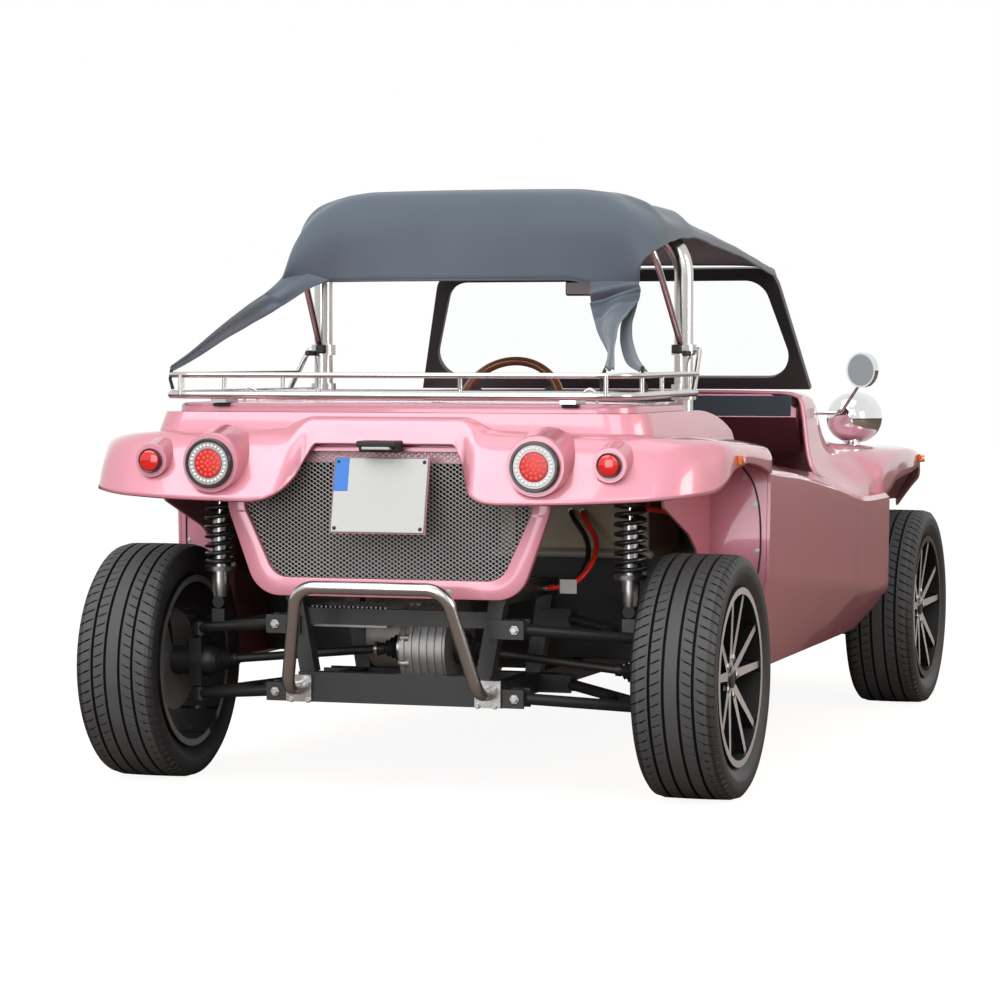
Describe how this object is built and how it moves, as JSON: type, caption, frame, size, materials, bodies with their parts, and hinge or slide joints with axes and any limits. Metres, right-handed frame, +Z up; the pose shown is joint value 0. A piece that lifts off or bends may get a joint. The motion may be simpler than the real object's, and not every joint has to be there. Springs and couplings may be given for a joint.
{
  "type": "dune buggy",
  "caption": "Open two-seat electric dune buggy with tube frame, moulded body, cloth top, luggage rack and steered front wheels.",
  "frame": {"origin": "on the floor under the middle of the vehicle", "axes": "+Z up; the nose faces -Y and the tail +Y; the left-hand side is +X"},
  "size_m": [1.6583, 3.4013, 1.514],
  "materials": {
    "body_paint": "gloss metallic pink",
    "cloth": "woven slate grey",
    "frame_black": "satin black powder coat",
    "stainless": "polished stainless tube",
    "tyre": "ribbed rubber",
    "rim": "black with machined spoke faces",
    "cast_alloy": "cast",
    "screen_glass": "clear",
    "lens_red": "moulded lens",
    "lens_amber": "moulded lens",
    "chrome": "polished",
    "wood_rim": "varnished",
    "upholstery": "grained",
    "black_plastic": "moulded",
    "beige_plastic": "moulded",
    "plate_white": "blank",
    "damper": "machined",
    "cable_red": "cable sheath",
    "cable_black": "cable sheath"
  },
  "bodies": {
    "body": {"chassis_frame": "frame_black", "rear_subframe": "frame_black", "front_subframe": "frame_black", "floor_tub": "body_paint", "rear_wings": "body_paint", "rear_deck": "body_paint", "deck_lid": "body_paint", "body_sides": "body_paint", "front_body": "body_paint", "nose_pan": "body_paint", "dashboard": "body_paint", "grille_frame": "body_paint", "grille_mesh": "frame_black", "number_plate": "plate_white", "tail_lamps": "lens_red", "reflectors": "lens_red", "headlamps": "chrome", "luggage_rack": "stainless", "rear_bumper": "stainless", "front_bumper": "stainless", "roll_hoop": "stainless", "canopy_bow": "stainless", "canopy": "cloth", "canopy_tails": "cloth", "windscreen_frame": "frame_black", "windscreen_glass": "screen_glass", "door_mirror": "chrome", "steering_column": "frame_black", "seat_left": "upholstery", "seat_right": "upholstery", "battery_box": "beige_plastic", "drive_unit": "cast_alloy", "motor_controller": "cast_alloy", "half_shafts": "frame_black", "rear_arms": "frame_black", "front_arms": "frame_black", "rear_uprights": "frame_black", "rear_shocks": "damper", "front_shocks": "damper", "side_markers": "lens_amber", "plate_lamp": "black_plastic", "pedals": "frame_black", "headlamp_lenses": "screen_glass", "cable_red": "cable_red", "cable_black": "cable_black"},
    "knuckle_left": {"knuckle_left": "frame_black"},
    "knuckle_right": {"knuckle_right": "frame_black"},
    "steering_wheel": {"steering_wheel": "wood_rim"},
    "steering_rack": {"steering_rack": "frame_black"},
    "wheel_front_left": {"tyre_front_left": "tyre", "rim_front_left": "rim"},
    "wheel_front_right": {"tyre_front_right": "tyre", "rim_front_right": "rim"},
    "wheel_rear_left": {"tyre_rear_left": "tyre", "rim_rear_left": "rim"},
    "wheel_rear_right": {"tyre_rear_right": "tyre", "rim_rear_right": "rim"}
  },
  "joints": [
    {"name": "steer_left", "type": "hinge", "parent": "body", "child": "knuckle_left", "pos_m": [0.6105, -1.095, 0.3], "axis": [0, 0, 1], "range_deg": [-28, 28]},
    {"name": "wheel_front_left_spin", "type": "hinge", "parent": "knuckle_left", "child": "wheel_front_left", "pos_m": [0.7225, -1.095, 0.3], "axis": [1, 0, 0], "continuous": true},
    {"name": "wheel_rear_left_spin", "type": "hinge", "parent": "body", "child": "wheel_rear_left", "pos_m": [0.7225, 1.285, 0.3], "axis": [1, 0, 0], "continuous": true},
    {"name": "steer_right", "type": "hinge", "parent": "body", "child": "knuckle_right", "pos_m": [-0.6105, -1.095, 0.3], "axis": [0, 0, 1], "range_deg": [-28, 28]},
    {"name": "wheel_front_right_spin", "type": "hinge", "parent": "knuckle_right", "child": "wheel_front_right", "pos_m": [-0.7225, -1.095, 0.3], "axis": [1, 0, 0], "continuous": true},
    {"name": "wheel_rear_right_spin", "type": "hinge", "parent": "body", "child": "wheel_rear_right", "pos_m": [-0.7225, 1.285, 0.3], "axis": [1, 0, 0], "continuous": true},
    {"name": "rack_slide", "type": "slide", "parent": "body", "child": "steering_rack", "axis": [1, 0, 0], "range_m": [-0.052, 0.052]},
    {"name": "steering_wheel_turn", "type": "hinge", "parent": "body", "child": "steering_wheel", "pos_m": [0.215, -0.07, 0.92], "axis": [0, 0.9272, 0.3746], "range_deg": [-338, 338]}
  ],
  "couplings": [
    {"joint": "steer_right", "follows": "steer_left", "ratio": 1},
    {"joint": "rack_slide", "follows": "steer_left", "m_per_rad": 0.105},
    {"joint": "steering_wheel_turn", "follows": "steer_left", "ratio": 12}
  ]
}
